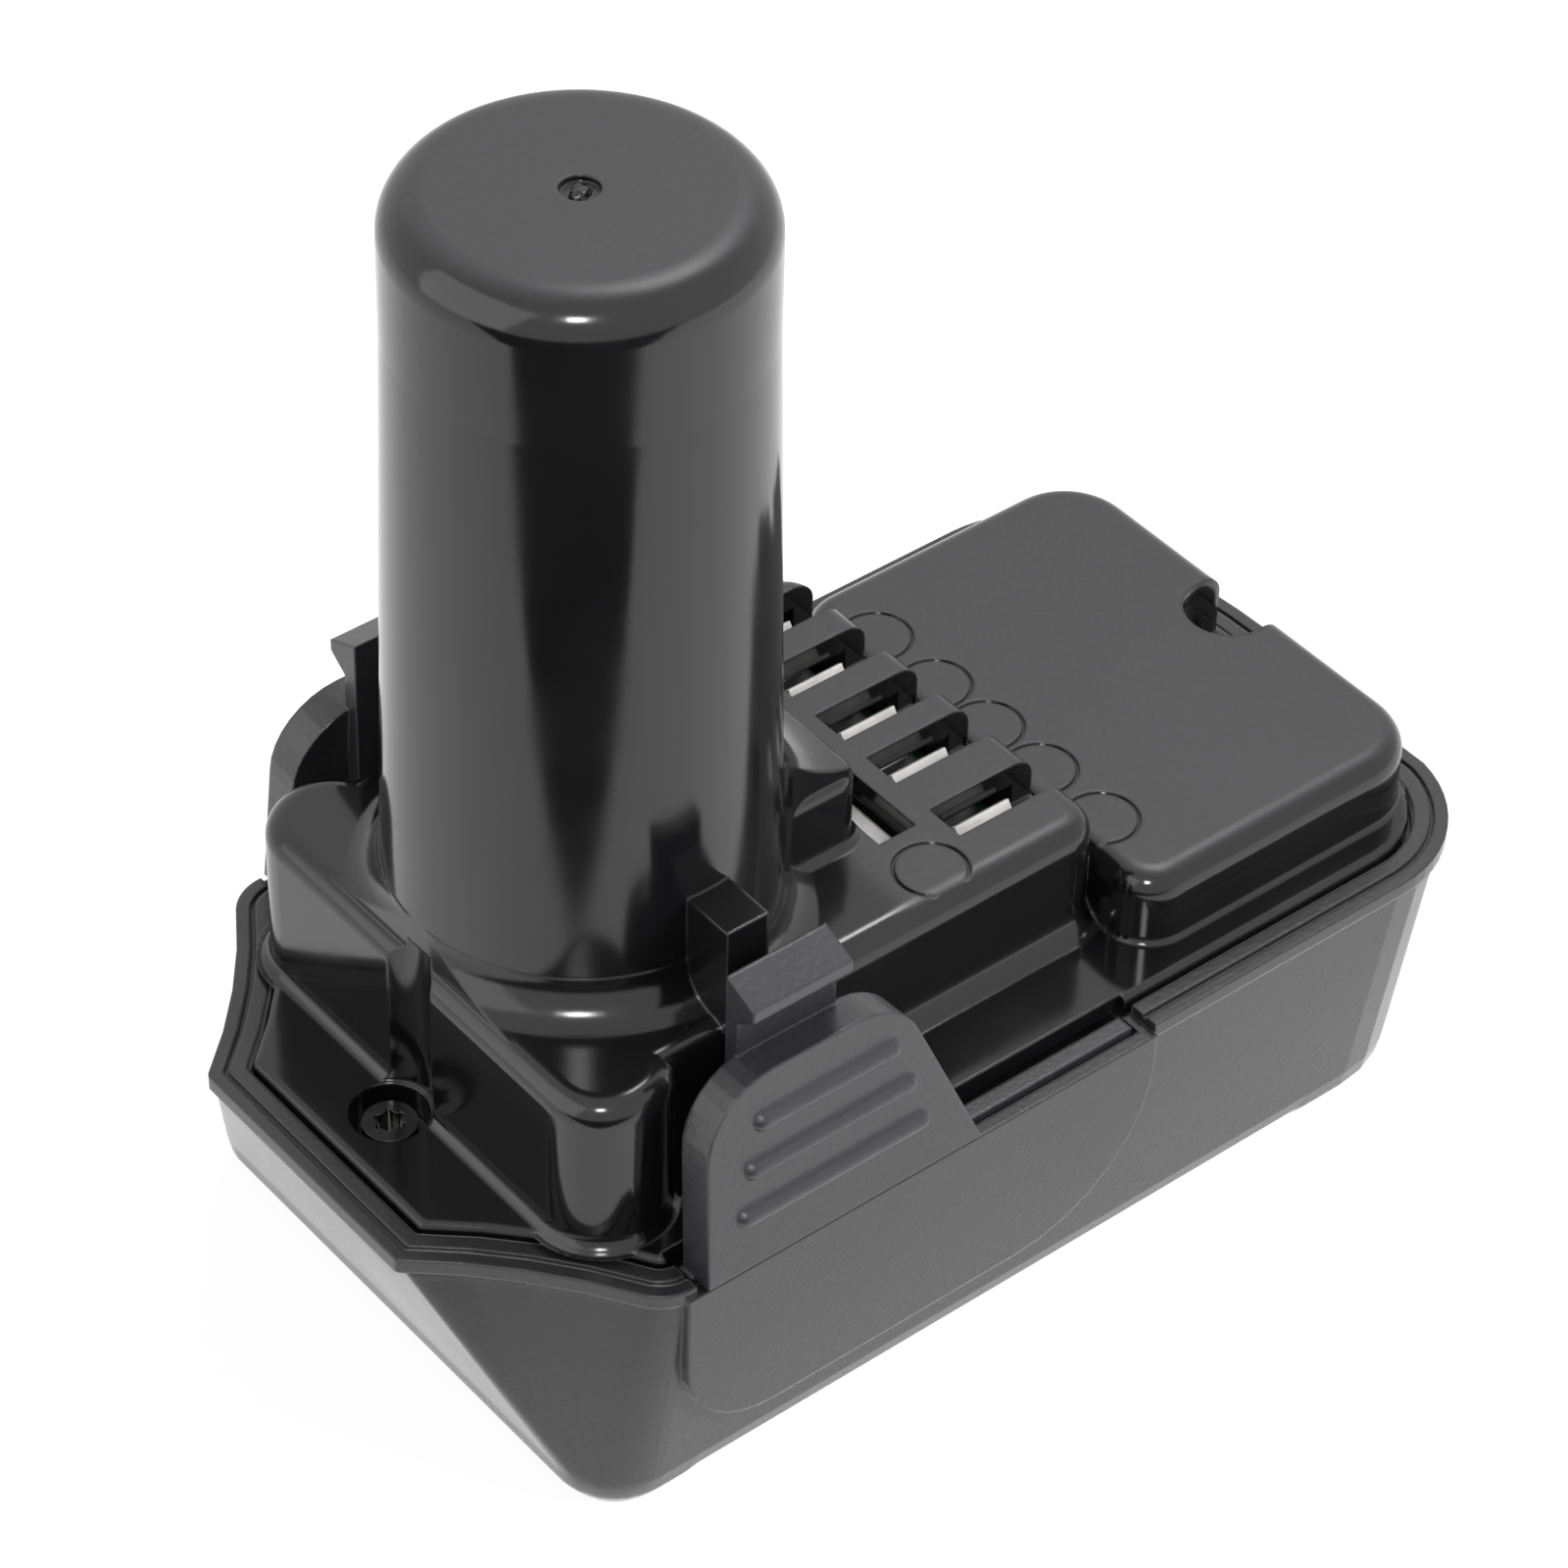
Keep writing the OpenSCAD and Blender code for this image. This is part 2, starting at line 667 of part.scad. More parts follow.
module latch_pins() color([0.6, 0.6, 0.62]) place() {
  both_sides() rod_x(pin_d / 2,
    [tongue_x[0] - lug_gap - lug_t, tongue_x[1] + lug_gap + lug_t], -swing_y, swing_z);
}

// Coil spring between the case and a latch, on the -Y side
module coil() {
  y0 = room_y[0] + wire_r + seat / 2;
  y1 = blade_y[0] - wire_r - seat / 2;
  n = 12 * coil_turns;
  sides = 6;
  rings = [for (i = [0 : n]) let (a = 360 * i / 12, y = -y0 - (y1 - y0) * i / n)
    [for (k = [0 : sides - 1]) let (b = 360 * k / sides, r = coil_r + wire_r * cos(b))
      [spring_x + r * cos(a), y + wire_r * sin(b), spring_z + r * sin(a)]]];
  skin(rings);
}

module latch_spring_right() color([0.6, 0.6, 0.62]) place() {
  coil();
}

module latch_spring_left() color([0.6, 0.6, 0.62]) place() {
  mirror([0, 1, 0]) coil();
}

// Screw with a six-lobe socket
module screw(x) {
  difference() {
    union() {
      post(head_d / 2, x, 0, [seat_z, head_z]);
      post(shank_d / 2, x, 0, [seat_z - screw_l, seat_z]);
    }
    post(lobe_r, x, 0, [head_z - 1.2, head_z + 1]);
    for (i = [0 : lobe_n - 1]) let (a = 360 * i / lobe_n)
      post(lobe_r * 0.3, x + lobe_r * cos(a), lobe_r * sin(a), [head_z - 1.2, head_z + 1]);
  }
}

module case_screws() color([0.2, 0.2, 0.21]) place() {
  for (x = screw_x) screw(x);
}

// Cell standing on z = 0, button upwards
module cell() {
  h = cell_l - button_h;
  cylinder(r = cell_r, h = h);
  cylinder(r = button_r, h = cell_l);
}

module tower_cell() color([0.20, 0.45, 0.55]) place() {
  translate([0, 0, tower_cell_z]) cell();
}

module right_cell() color([0.20, 0.45, 0.55]) place() {
  translate([cell_x, -cell_y, cell_z]) rotate([0, 90, 0]) cell();
}

module left_cell() color([0.20, 0.45, 0.55]) place() {
  translate([cell_end, cell_y, cell_z]) rotate([0, -90, 0]) cell();
}

// Paper ring round the button of a cell
module paper_ring() {
  translate([0, 0, cell_l - button_h + 0.05]) difference() {
    cylinder(r = cell_r - 0.4, h = 0.3);
    translate([0, 0, -1]) cylinder(r = button_r + 0.3, h = 3);
  }
}

module cell_rings() color([0.9, 0.9, 0.85]) place() {
  translate([0, 0, tower_cell_z]) paper_ring();
  translate([cell_x, -cell_y, cell_z]) rotate([0, 90, 0]) paper_ring();
  translate([cell_end, cell_y, cell_z]) rotate([0, -90, 0]) paper_ring();
}

module cell_frame() color([0.85, 0.84, 0.80]) place() {
  difference() {
    union() {
      box([cell_x + 0.5, cell_end - 0.5], [-frame_half, frame_half], [frame_low, frame_top]);
      post(seat_r, 0, 0, [frame_top - 1, tower_cell_z - strap_t - seat]);
      for (x = [board_x[0] + 2, board_x[1] - 4]) for (y = [-1, 1] * (board_y[0] - 2.5))
        post(post_half, x, y, [frame_top - 1, post_top]);
    }
    for (y = [-cell_y, cell_y]) rod_x(cell_r + seat / 2, [cell_x - 1, cell_end + 1], y, cell_z);
    post(seat_r - 2, 0, 0, [frame_top, tower_cell_z]);
    box([0, seat_r + 1], [-1, 1] * (lead_r + 2 * seat), [frame_top, tower_cell_z]);
    box([-seat_r - 1, 0], [-1, 1] * (tab_half + seat), [frame_top - 1 - seat, tower_cell_z]);
  }
}

module bottom_pads() color([0.25, 0.25, 0.25]) place() {
  z = floor_z + seat / 2;
  for (x = low_pad_x) box([x, x + low_pad_l], [-low_pad_half, low_pad_half], [z, z + low_pad_t]);
}

module tower_pad() color([0.25, 0.25, 0.25]) place() {
  post(top_pad_r, 0, 0, [roof_z - top_pad_t - seat / 2, roof_z - seat / 2]);
}

// Soft sleeves that centre the tower cell
module tower_sleeves() color([0.25, 0.25, 0.25]) place() {
  for (z = [tower_cell_z + sleeve_in, tower_cell_top - sleeve_in - sleeve_h]) difference() {
    post(bore_r - seat / 2, 0, 0, [z, z + sleeve_h]);
    post(cell_r + seat / 2, 0, 0, [z - 1, z + sleeve_h + 1]);
    box([0, bore_r + 1], [-1, 1] * (lead_r + 2 * seat), [z - 1, z + sleeve_h + 1]);
  }
}

module rear_strap() color([0.78, 0.77, 0.72]) place() {
  x = cell_end + seat / 2;
  box([x, x + strap_t], [-1, 1] * (cell_y + strap_half), [cell_z - strap_half, strap_top]);
}

module right_strap() color([0.78, 0.77, 0.72]) place() {
  x = cell_x - seat / 2;
  box([x - strap_t, x], [-cell_y - strap_half, -cell_y + strap_half], [cell_z - strap_half, frame_top - 1 - seat]);
}

// Strap from the left cell up to the foot of the tower cell
module left_strap() color([0.78, 0.77, 0.72]) place() {
  x = cell_x - seat / 2;
  z = tower_cell_z - seat / 2;
  box([x - strap_t, x], [1, cell_y + strap_half], [cell_z - strap_half, strap_top]);
  box([x - strap_t, x], [1, tab_half], [cell_z, z]);
  box([x - strap_t, button_r], [-tab_half, tab_half], [z - strap_t, z]);
}

module top_strap() color([0.78, 0.77, 0.72]) place() {
  z = tower_cell_top + seat / 2;
  box([-button_r, lead_path + lead_r], [-2, 2], [z, z + strap_t]);
}

module circuit_board() color([0.10, 0.35, 0.20]) place() {
  z = [board_z, board_top];
  difference() {
    union() {
      box(board_x, [-board_y[0], board_y[0]], z);
      box([deck_x + wall + 2 * seat, board_x[1] - 2.5], [-board_y[1], board_y[1]], z);
    }
    post(notch_r + channel_skin + seat, screw_x[1], 0, [board_z - 1, board_top + 1]);
  }
}

module board_chips() color([0.12, 0.12, 0.12]) place() {
  z = board_top + 0.05;
  for (y = switch_y) box([switch_x, switch_x + switch_l], [y, y + switch_w], [z, z + switch_t]);
  box(guard_x, guard_y, [z, z + guard_t]);
  for (y = dot_y) box([dot_x, dot_x + dot_l], [y, y + dot_w], [z, z + dot_t]);
}

module clip_holder() color([0.15, 0.15, 0.16]) place() {
  difference() {
    union() {
      box([clip_x - 1, clip_x + clip_l + 0.4], [slot_y[4] - 2.4, slot_y[0] + 2],
        [holder_z, holder_z + holder_h]);
      box([cross_x[0] + seat, cross_x[1]], cross_y, [holder_z, holder_z + holder_h]);
      box([cross_x[1] - 1, clip_x], cross_y, [holder_z, holder_z + 1.2]);
    }
    for (y = slot_y) box([clip_x - seat / 2, clip_x + clip_l + seat / 2],
      [y - leaf_gap - clip_t - seat / 2, y + leaf_gap + clip_t + seat / 2],
      [0, holder_z + 2 * holder_h]);
    box(cross_mid + [-1, 1] * (leaf_gap + clip_t + seat / 2),
      [cross_start - seat, cross_start + clip_l + seat], [0, holder_z + 2 * holder_h]);
  }
}

// Spring clip along X with two leaves that open outwards at the top
module clip(l) {
  z0 = clip_z[0];
  z1 = clip_z[1];
  rotate([90, 0, 90]) linear_extrude(l) polygon([
    [-leaf_gap - clip_t, z0], [leaf_gap + clip_t, z0],
    [leaf_gap + clip_t, z1 - 2 * lip], [leaf_gap, z1 - lip - 0.3], [leaf_gap + lip, z1 - 0.3],
    [leaf_gap + lip - clip_t, z1], [leaf_gap - clip_t, z1 - lip - 0.3], [leaf_gap, z1 - 2 * lip],
    [leaf_gap, z0 + clip_t], [-leaf_gap, z0 + clip_t],
    [-leaf_gap, z1 - 2 * lip], [clip_t - leaf_gap, z1 - lip - 0.3], [clip_t - leaf_gap - lip, z1],
    [-leaf_gap - lip, z1 - 0.3], [-leaf_gap, z1 - lip - 0.3], [-leaf_gap - clip_t, z1 - 2 * lip]]);
}

module slot_clips() color([0.85, 0.84, 0.80]) place() {
  for (y = slot_y) translate([clip_x, y, 0]) clip(clip_l);
}

module cross_clip() color([0.85, 0.84, 0.80]) place() {
  translate([cross_mid[0], cross_start, 0]) rotate([0, 0, 90]) clip(clip_l);
}

module thermal_sensor() color([0.1, 0.1, 0.1]) place() {
  rod_x(0.6, [38, 43], 0, frame_top + 0.7);
}

// Lead from the top of the tower cell down to the board
module tower_wire() color([0.7, 0.1, 0.1]) place() {
  post(lead_r, lead_path, 0, [lead_z, tower_cell_top]);
  translate([lead_path, 0, lead_z]) sphere(lead_r);
  rod_x(lead_r, [lead_path, board_x[0] + 0.6], 0, lead_z);
  translate([board_x[0] + 0.6, 0, lead_z]) sphere(lead_r);
  post(lead_r, board_x[0] + 0.6, 0, [board_top + 0.05, lead_z]);
}

// Lead from the rear strap up to the board
module board_wire() color([0.1, 0.1, 0.1]) place() {
  post(lead_r, cell_end + seat + lead_r, 9, [strap_top + seat / 2, board_z - 0.05]);
}

upper_case();
lower_case();
latch_right();
latch_left();
latch_pins();
latch_spring_right();
latch_spring_left();
case_screws();
tower_cell();
right_cell();
left_cell();
cell_rings();
cell_frame();
bottom_pads();
tower_pad();
tower_sleeves();
rear_strap();
right_strap();
left_strap();
top_strap();
circuit_board();
board_chips();
clip_holder();
slot_clips();
cross_clip();
thermal_sensor();
tower_wire();
board_wire();
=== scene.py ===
import json
import math

import bmesh
import bpy
from mathutils import Matrix, Vector, noise


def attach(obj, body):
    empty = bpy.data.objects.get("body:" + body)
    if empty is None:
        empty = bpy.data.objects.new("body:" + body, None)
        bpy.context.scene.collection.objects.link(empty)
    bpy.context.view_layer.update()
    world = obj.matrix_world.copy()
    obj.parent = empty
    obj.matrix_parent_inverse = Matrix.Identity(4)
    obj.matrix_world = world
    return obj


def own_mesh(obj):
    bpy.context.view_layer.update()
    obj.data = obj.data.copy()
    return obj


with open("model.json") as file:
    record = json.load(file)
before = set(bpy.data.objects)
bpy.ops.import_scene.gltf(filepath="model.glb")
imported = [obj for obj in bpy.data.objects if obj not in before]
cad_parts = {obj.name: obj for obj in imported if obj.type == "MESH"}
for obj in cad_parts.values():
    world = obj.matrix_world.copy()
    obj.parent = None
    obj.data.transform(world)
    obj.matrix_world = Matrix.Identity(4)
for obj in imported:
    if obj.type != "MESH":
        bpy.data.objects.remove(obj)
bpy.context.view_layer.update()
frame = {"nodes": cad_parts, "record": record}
nodes = frame["nodes"]
scene = bpy.context.scene

MM = 0.001
WHITE = (1, 1, 1, 1)

# Axis of the tower, and floor of the small recess in its end
TOWER_X = -22.7 * MM
GATE_FLOOR = 98.25 * MM

# Stretches over which a finish changes, each from its first to its second place in the frame
BEHIND_TOWER_X = (-6 * MM, -2 * MM)
STEP_TOP_Z = (27.5 * MM, 28 * MM)
TOWER_END_Z = (96.5 * MM, 98.5 * MM)
NOTCH_X = (33 * MM, 35 * MM)
NOTCH_Y = (7 * MM, 8.5 * MM)
# Height over which the painted floor reflection fades out up the lower case, and its foot gets
# smoother
FOOT_Z = (3 * MM, 21 * MM)
FRONT_X = (-38 * MM, -34.5 * MM)
REAR_X = (38 * MM, 41 * MM)
UNDER_RIM_Z = (21.5 * MM, 22 * MM)
# Upward part of the normal, from a sloping face to a level one
LEVEL = (0.80, 0.97)

# Radius by which the material rounds an edge
EDGE = 0.35 * MM
NOTCH_EDGE = 0.8 * MM
END_EDGE = 1.4 * MM

# Moulded black: roughness and greys of its polished and its satin parts
POLISHED_ROUGH, POLISHED_GREYS = (0.10, 0.17), (0.0045, 0.006)
SATIN_ROUGH, SATIN_GREYS = (0.36, 0.42), (0.016, 0.021)

# Grained black: brightness left between the pebbles, and roughness lost at the foot
HOLLOW_SHADE = 0.72
FOOT_POLISH = 0.06

# View of the photograph
VIEW_AZIMUTH = math.radians(-40.08)
VIEW_ELEVATION = math.radians(41.71)
VIEW_ROLL = math.radians(1.74)
CAMERA_PLACE = (-0.19978, -0.23295, 0.30763)

# Sprue stub: half axes in millimetres, turn, and height and scale of its lumps
STUB_SIZE = (0.95, 0.7, 0.38)
STUB_TURN = math.radians(35)
STUB_COARSE = (0.28, 1.7)
STUB_FINE = (0.12, 4.5)

# Light that the world gives, glow of the floor where it shows, and half of the floor's side
WORLD_LIGHT = 0.28
FLOOR_GLOW = 0.8
FLOOR_HALF = 3

# Black card: its height, its distance from the tower's axis, half of its near and its far
# edge, and its depth, in metres
FLAG_Z = 0.001
FLAG_START = 0.068
FLAG_NEAR = 0.003
FLAG_FAR = 0.75
FLAG_DEPTH = 0.45

# Square lamps: name, place, aim, side in metres, power in watts
LAMPS = (
    ("front", (-0.34, -0.39, 0.54), (0, 0, 0.03), 0.10, 1.5),
    ("top", (0.30, 0.16, 0.72), (0, 0, 0.03), 0.20, 1.6),
    ("left", (-0.75, 0.15, 0.40), (0, 0, 0.05), 0.9, 2.6),
    ("right", (0.36, -0.50, 0.42), (0, 0, 0.03), 0.3, 5.2),
)
# Lamp that lights the right side without a glint of its own
FILL_LAMP = "right"


# Materials

class Graph:
    """Node tree of one material, with short calls for the nodes that the finishes share."""

    # First input, second input and output of a Mix node, by its kind of value
    MIX_SOCKETS = {"FLOAT": (2, 3, 0), "RGBA": (6, 7, 2)}
    # Values of a noise between which most of the surface lies
    NOISE_SPREAD = (0.3, 0.7)

    def __init__(self, name):
        self.mat = bpy.data.materials.new(name)
        self.mat.use_nodes = True
        self.tree = self.mat.node_tree
        self.shader = self.tree.nodes["Principled BSDF"]
        self.coords = self.add("ShaderNodeTexCoord").outputs["Object"]

    def add(self, kind, **settings):
        node = self.tree.nodes.new(kind)
        for key, value in settings.items():
            setattr(node, key, value)
        return node

    def put(self, socket, value):
        """Links the input to another socket, or writes a plain value on it."""
        if isinstance(value, bpy.types.NodeSocket):
            self.tree.links.new(value, socket)
        else:
            socket.default_value = value

    def fill(self, node, **values):
        """Puts each value on the input of its name, with a space for each underscore."""
        for key, value in values.items():
            self.put(node.inputs[key.replace("_", " ")], value)
        return node

    def split(self, vector):
        """X, Y and Z of a vector."""
        node = self.fill(self.add("ShaderNodeSeparateXYZ"), Vector=vector)
        return node.outputs["X"], node.outputs["Y"], node.outputs["Z"]

    def noise(self, scale, detail=2.0, roughness=0.5, vector=None):
        return self.fill(self.add("ShaderNodeTexNoise"), Vector=vector or self.coords, Scale=scale,
                         Detail=detail, Roughness=roughness).outputs["Fac"]

    def cells(self, scale):
        return self.fill(self.add("ShaderNodeTexVoronoi", feature="SMOOTH_F1"),
                         Vector=self.coords, Scale=scale, Smoothness=0.6).outputs["Distance"]

    def ramp(self, value, low, high, to_low=0.0, to_high=1.0):
        return self.fill(self.add("ShaderNodeMapRange", interpolation_type="SMOOTHSTEP"),
                         Value=value, From_Min=low, From_Max=high,
                         To_Min=to_low, To_Max=to_high).outputs["Result"]

    def spread(self, value, to_low=0.0, to_high=1.0):
        """Stretches a noise over the given range."""
        return self.ramp(value, *self.NOISE_SPREAD, to_low, to_high)

    def calc(self, operation, a, b=0.0):
        node = self.add("ShaderNodeMath", operation=operation)
        self.put(node.inputs[0], a)
        self.put(node.inputs[1], b)
        return node.outputs[0]

    def mix(self, factor, a, b, kind="RGBA"):
        node = self.add("ShaderNodeMix", data_type=kind)
        first, second, result = self.MIX_SOCKETS[kind]
        self.put(node.inputs["Factor"], factor)
        self.put(node.inputs[first], a)
        self.put(node.inputs[second], b)
        return node.outputs[result]

    def greys(self, factor, low, high):
        """Colour between two dark greys."""
        return self.mix(factor, grey(low), grey(high))

    def rounded(self, radius):
        """Normal that rounds the edges by the radius, in metres."""
        return self.fill(self.add("ShaderNodeBevel", samples=6), Radius=radius).outputs["Normal"]

    def bump(self, height, distance, strength, normal=None):
        node = self.fill(self.add("ShaderNodeBump"), Height=height, Distance=distance,
                         Strength=strength)
        if normal is not None:
            self.put(node.inputs["Normal"], normal)
        return node.outputs["Normal"]

    def dress(self, **values):
        """Puts the values on the shader, and gives the material."""
        self.fill(self.shader, **values)
        return self.mat


def grey(value):
    """Dark grey with a slight blue cast."""
    return (value, value, value * 1.12, 1.0)


def shaded(colour, share):
    """The colour at a share of its brightness."""
    return tuple(c * share for c in colour[:3]) + (1,)


def moulded_black():
    """Polished walls and tower, and fine satin texture on the deck, the step and the tower's end.

    The notch of the deck has a rounder edge than the rest.
    """
    g = Graph("moulded_black")
    x, y, z = g.split(g.coords)
    upward = g.split(g.add("ShaderNodeNewGeometry").outputs["Normal"])[2]
    rear = g.calc("MULTIPLY", g.ramp(x, *BEHIND_TOWER_X), g.ramp(z, *STEP_TOP_Z))
    tops = g.calc("MAXIMUM", rear, g.ramp(z, *TOWER_END_Z))
    satin = g.calc("MULTIPLY", g.ramp(upward, *LEVEL), tops)
    notch = g.calc("MULTIPLY", g.ramp(x, *NOTCH_X),
                   g.ramp(g.calc("ABSOLUTE", y), *NOTCH_Y, 1.0, 0.0))

    smear = g.noise(60, detail=3.0, roughness=0.55)
    fine = g.noise(2600, roughness=0.6)
    waves = g.noise(90, detail=1.0, roughness=0.4)
    rough = g.mix(satin, g.ramp(smear, 0.35, 0.7, *POLISHED_ROUGH),
                  g.spread(smear, *SATIN_ROUGH), "FLOAT")
    polished = g.greys(g.spread(smear), *POLISHED_GREYS)
    textured = g.greys(g.ramp(fine, 0.35, 0.65), *SATIN_GREYS)

    edges = g.rounded(g.ramp(notch, 0.0, 1.0, EDGE, NOTCH_EDGE))
    texture = g.bump(fine, 0.002 * MM, g.ramp(satin, 0.0, 1.0, 0.0, 0.8), edges)
    return g.dress(Base_Color=g.mix(satin, polished, textured), Roughness=rough,
                   Normal=g.bump(waves, 0.03 * MM, 0.35, texture), Specular_IOR_Level=0.6)


def grained_black(name, value, grain, depth, rough, sheen, low=0.0):
    """Pebbled texture of the lower case and of the latches, paler by low towards the bottom.

    The grain is the scale of the pebbles, and depth their height in millimetres. The paler bottom
    is painted: it stands in for the reflection of the white floor. The corners at the front and
    the rear are rounder below the rim.
    """
    g = Graph(name)
    x, _, z = g.split(g.coords)
    # foot: mask for the painted floor reflection in the colour, and for the smoother foot
    foot = g.ramp(z, *FOOT_Z, 1.0, 0.0)
    ends = g.calc("MAXIMUM", g.ramp(x, *FRONT_X, 1.0, 0.0), g.ramp(x, *REAR_X))
    corners = g.calc("MULTIPLY", ends, g.ramp(z, *UNDER_RIM_Z, 1.0, 0.0))

    pebble = g.cells(grain)
    fine = g.noise(grain * 1.7, roughness=0.6)
    smear = g.noise(45, detail=3.0, roughness=0.55)
    height = g.calc("ADD", g.calc("MULTIPLY", pebble, 0.8), g.calc("MULTIPLY", fine, 0.5))
    edges = g.rounded(g.ramp(corners, 0.0, 1.0, EDGE, END_EDGE))
    shade = g.ramp(pebble, 0.1, 0.7)

    def pebbled(tone):
        return g.greys(shade, tone, tone * HOLLOW_SHADE)

    # Base colour paler towards the bottom: painted reflection of the white floor
    return g.dress(Base_Color=g.mix(foot, pebbled(value), pebbled(value + low)),
                   Roughness=g.calc("SUBTRACT", g.spread(smear, rough - 0.03, rough + 0.05),
                                    g.ramp(foot, 0.0, 1.0, 0.0, FOOT_POLISH)),
                   Normal=g.bump(height, depth * MM, 0.6, edges),
                   Specular_IOR_Level=0.68, Sheen_Weight=sheen, Sheen_Roughness=0.35)


def metal(name, colour, rough, scratch, depth=0.004, level=1.0, edge=0.05):
    """Sheet or turned metal with fine drawn lines along X.

    Scratch is the scale of the lines, depth their depth and edge the radius of the edges, both
    in millimetres, and level is how metallic the surface is.
    """
    g = Graph(name)
    drawn = g.fill(g.add("ShaderNodeMapping"), Vector=g.coords, Scale=(0.12, 1.0, 1.0))
    lines = g.noise(scratch, detail=3.0, roughness=0.65, vector=drawn.outputs["Vector"])
    tint = g.spread(g.noise(400))
    return g.dress(Base_Color=g.mix(tint, colour, shaded(colour, 0.82)), Metallic=level,
                   Roughness=g.spread(lines, rough - 0.05, rough + 0.08),
                   Normal=g.bump(lines, depth * MM, 0.5, g.rounded(edge * MM)))


def plain(name, colour, rough, scale=900.0, depth=0.01):
    """Inner pieces: moulded, foamed or coated, with a mottled surface.

    The scale is that of the mottles, and depth their height in millimetres.
    """
    g = Graph(name)
    spots = g.noise(scale, detail=3.0, roughness=0.6)
    return g.dress(Base_Color=g.mix(g.spread(spots), colour, shaded(colour, 0.85)),
                   Roughness=g.spread(spots, rough - 0.06, rough + 0.06),
                   Normal=g.bump(spots, depth * MM, 0.6))


def sprue_black():
    """Torn plastic of the sprue stub."""
    g = Graph("sprue_black")
    grit = g.noise(1500, detail=3.0, roughness=0.6)
    return g.dress(Base_Color=g.greys(g.spread(grit), 0.004, 0.010),
                   Roughness=g.spread(grit, 0.12, 0.3), Normal=g.bump(grit, 0.03 * MM, 0.6))


GRAINED = {
    # low on the lower case: painted reflection of the white floor, paler towards the bottom
    "grained_black": dict(value=0.012, grain=2300.0, depth=0.024, rough=0.27, sheen=0.3,
                          low=0.016),
    "latch_black": dict(value=0.026, grain=2600.0, depth=0.022, rough=0.30, sheen=0.04),
}
METALS = {
    "steel": dict(colour=(0.55, 0.55, 0.56, 1), rough=0.3, scratch=1500),
    "black_steel": dict(colour=(0.13, 0.127, 0.125, 1), rough=0.2, scratch=1800, depth=0.0003,
                        edge=0.07),
    "contact": dict(colour=(1.0, 0.99, 0.97, 1), rough=0.3, scratch=2200, depth=0.0002,
                    level=0.12),
    "nickel": dict(colour=(0.74, 0.72, 0.68, 1), rough=0.3, scratch=1500),
}
PLAIN = {
    "cell_sleeve": dict(colour=(0.04, 0.16, 0.24, 1), rough=0.35, scale=500),
    "paper": dict(colour=(0.8, 0.8, 0.74, 1), rough=0.8),
    "frame_plastic": dict(colour=(0.72, 0.71, 0.66, 1), rough=0.5),
    "foam": dict(colour=(0.03, 0.03, 0.03, 1), rough=0.85, scale=1800, depth=0.05),
    "board": dict(colour=(0.01, 0.09, 0.04, 1), rough=0.35),
    "chip_black": dict(colour=(0.015, 0.015, 0.016, 1), rough=0.5),
    "holder_plastic": dict(colour=(0.012, 0.012, 0.013, 1), rough=0.5),
    "red_lead": dict(colour=(0.4, 0.02, 0.02, 1), rough=0.4),
    "black_lead": dict(colour=(0.015, 0.015, 0.015, 1), rough=0.4),
}

finishes = {"satin_black": moulded_black()}
for make, looks in ((grained_black, GRAINED), (metal, METALS), (plain, PLAIN)):
    for slot, look in looks.items():
        finishes[slot] = make(slot, **look)

slot_of = {s["node"]: s["material_slot"] for s in frame["record"]["subparts"]}
for name, obj in nodes.items():
    obj.data.materials.clear()
    obj.data.materials.append(finishes[slot_of[name]])


# Return springs: each gets a mesh of its own

for side, sign in (("right", -1), ("left", 1)):
    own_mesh(nodes["latch_spring_" + side])


# Sprue stub

def gate_stub():
    """Broken-off sprue in the small recess at the middle of the tower's end."""
    (coarse, coarse_scale), (fine, fine_scale) = STUB_COARSE, STUB_FINE
    bm = bmesh.new()
    bmesh.ops.create_icosphere(bm, subdivisions=4, radius=1.0)
    for v in bm.verts:
        lump = (1 + coarse * noise.noise(v.co * coarse_scale + Vector((4, 1, 7)))
                + fine * noise.noise(v.co * fine_scale))
        v.co = Vector([c * size for c, size in zip(v.co, STUB_SIZE)]) * lump * MM
    mesh = bpy.data.meshes.new("gate_stub")
    bm.to_mesh(mesh)
    bm.free()
    mesh.polygons.foreach_set("use_smooth", [True] * len(mesh.polygons))
    mesh.materials.append(sprue_black())
    obj = bpy.data.objects.new("gate_stub", mesh)
    obj.location = (TOWER_X, 0, GATE_FLOOR)
    obj.rotation_euler = (0, 0, STUB_TURN)
    scene.collection.objects.link(obj)
    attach(obj, "case")


gate_stub()


# Camera

def aim_camera():
    """Camera of the photograph, solved from the edges of the pack."""
    back = Vector((math.sin(VIEW_AZIMUTH) * math.cos(VIEW_ELEVATION),
                   -math.cos(VIEW_AZIMUTH) * math.cos(VIEW_ELEVATION),
                   math.sin(VIEW_ELEVATION)))
    right = (-back).cross(Vector((0, 0, 1))).normalized()
    up = right.cross(-back)
    right, up = (math.cos(VIEW_ROLL) * right + math.sin(VIEW_ROLL) * up,
                 math.cos(VIEW_ROLL) * up - math.sin(VIEW_ROLL) * right)
    camera = bpy.data.cameras.new("camera")
    camera.sensor_width = 36
    camera.lens = 125.66
    camera.clip_start = 0.01
    obj = bpy.data.objects.new("camera", camera)
    turn = Matrix((right, up, back)).transposed().to_4x4()
    obj.matrix_world = Matrix.Translation(CAMERA_PLACE) @ turn
    scene.collection.objects.link(obj)
    scene.camera = obj


scene.view_settings.view_transform = "Standard"
aim_camera()


# Studio

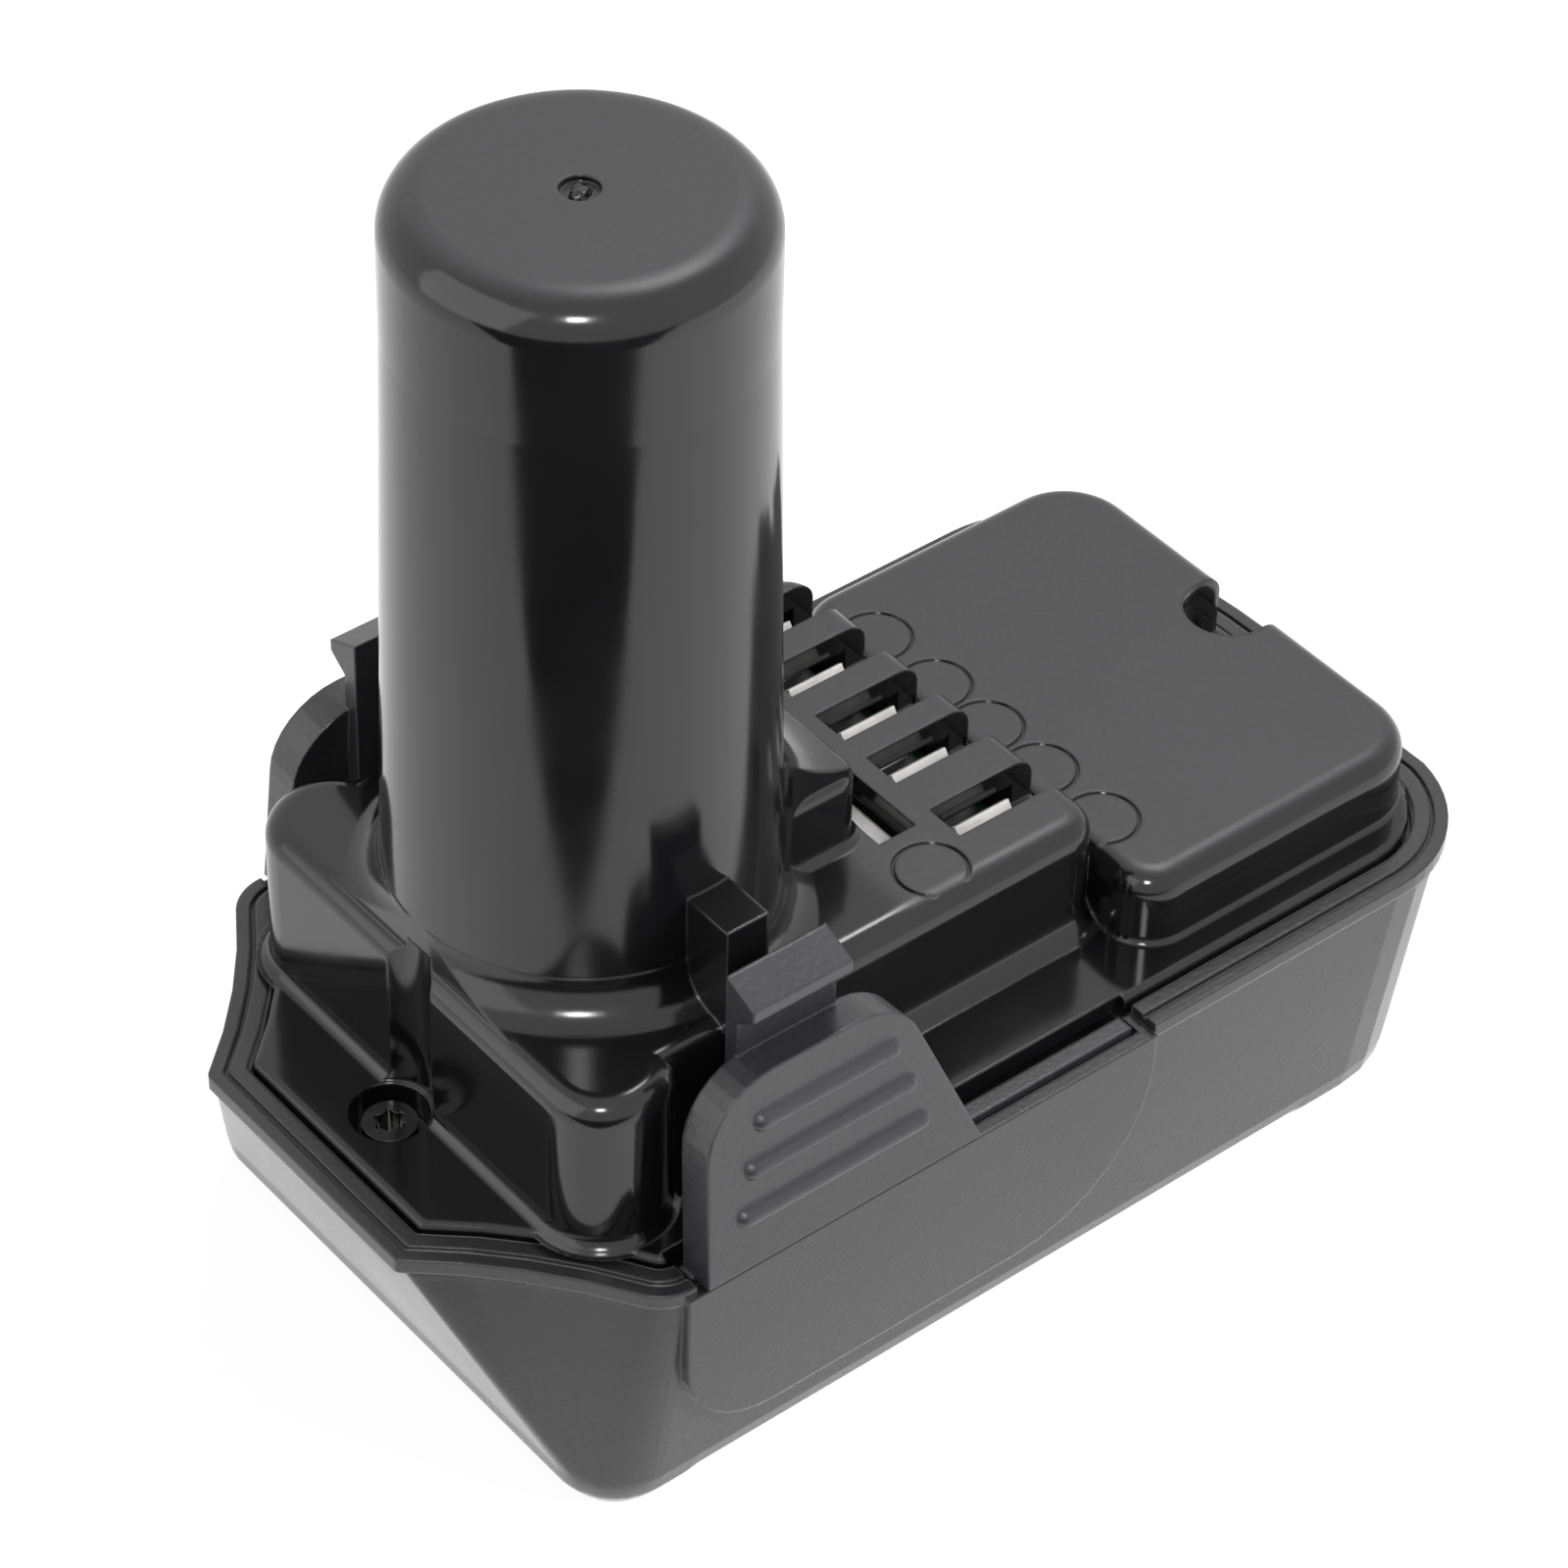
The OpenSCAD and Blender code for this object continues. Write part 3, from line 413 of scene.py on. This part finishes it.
def lamp(name, place, aim, side, power):
    """Square lamp that points at its aim."""
    data = bpy.data.lights.new(name, "AREA")
    data.shape = "RECTANGLE"
    data.size = data.size_y = side
    data.energy = power
    obj = bpy.data.objects.new(name, data)
    obj.location = place
    obj.rotation_euler = (Vector(aim) - Vector(place)).to_track_quat("-Z", "Y").to_euler()
    obj.visible_glossy = name != FILL_LAMP
    scene.collection.objects.link(obj)


def card(name, corners, material):
    """Flat sheet of the studio."""
    mesh = bpy.data.meshes.new(name)
    mesh.from_pydata(corners, [], [tuple(range(len(corners)))])
    mesh.materials.append(material)
    obj = bpy.data.objects.new(name, mesh)
    scene.collection.objects.link(obj)
    return obj


def emptied(holder):
    """Node tree of a world or a material, with no node in it."""
    holder.use_nodes = True
    holder.node_tree.nodes.clear()
    return holder.node_tree


def shader(tree, kind, **inputs):
    """Output of a new shader with the values on its inputs."""
    node = tree.nodes.new(kind)
    for key, value in inputs.items():
        node.inputs[key].default_value = value
    return node.outputs[0]


def show(tree, out, seen, other):
    """Ends the tree with two shaders: seen where a ray shows a background, and other elsewhere.

    Camera, glossy and transmission rays show a background.
    """
    paths = tree.nodes.new("ShaderNodeLightPath")
    shows = paths.outputs["Is Camera Ray"]
    for kind in ("Is Glossy Ray", "Is Transmission Ray"):
        most = tree.nodes.new("ShaderNodeMath")
        most.operation = "MAXIMUM"
        tree.links.new(shows, most.inputs[0])
        tree.links.new(paths.outputs[kind], most.inputs[1])
        shows = most.outputs[0]
    mix = tree.nodes.new("ShaderNodeMixShader")
    for socket, link in zip(mix.inputs, (shows, other, seen)):
        tree.links.new(link, socket)
    tree.links.new(mix.outputs[0], tree.nodes.new(out).inputs[0])


def white_world():
    """World that shows white and lights the object weakly from all sides."""
    scene.world = bpy.data.worlds.new("studio")
    tree = emptied(scene.world)
    show(tree, "ShaderNodeOutputWorld",
         shader(tree, "ShaderNodeBackground", Color=WHITE, Strength=1.0),
         shader(tree, "ShaderNodeBackground", Color=WHITE, Strength=WORLD_LIGHT))


def white_floor():
    """Floor that shows nearly white with the object's shadow on it, and reflects as white paper."""
    mat = bpy.data.materials.new("white_floor")
    tree = emptied(mat)
    lifted = tree.nodes.new("ShaderNodeAddShader")
    tree.links.new(shader(tree, "ShaderNodeBsdfDiffuse", Color=(0.35, 0.35, 0.35, 1)),
                   lifted.inputs[0])
    tree.links.new(shader(tree, "ShaderNodeEmission", Strength=FLOOR_GLOW), lifted.inputs[1])
    show(tree, "ShaderNodeOutputMaterial", lifted.outputs[0],
         shader(tree, "ShaderNodeBsdfDiffuse", Color=(0.9, 0.9, 0.9, 1)))
    corners = [(-1, -1), (1, -1), (1, 1), (-1, 1)]
    card("floor", [(x * FLOOR_HALF, y * FLOOR_HALF, 0) for x, y in corners], mat)


def black_flag():
    """Black card in front of the tower, which only its reflections show."""
    mat = bpy.data.materials.new("black_card")
    mat.use_nodes = True
    inputs = mat.node_tree.nodes["Principled BSDF"].inputs
    inputs["Base Color"].default_value = (0.004, 0.004, 0.004, 1)
    inputs["Roughness"].default_value = 0.9
    towards = Vector((math.sin(VIEW_AZIMUTH), -math.cos(VIEW_AZIMUTH), 0))
    aside = Vector((-towards.y, towards.x, 0))
    near = Vector((TOWER_X, 0, FLAG_Z)) + towards * FLAG_START
    flag = card("flag", [near + aside * FLAG_NEAR, near - aside * FLAG_NEAR,
                         near - aside * FLAG_FAR + towards * FLAG_DEPTH,
                         near + aside * FLAG_FAR + towards * FLAG_DEPTH], mat)
    flag.visible_camera = False
    flag.visible_diffuse = False
    flag.visible_shadow = False


white_world()
white_floor()
black_flag()
for values in LAMPS:
    lamp(*values)
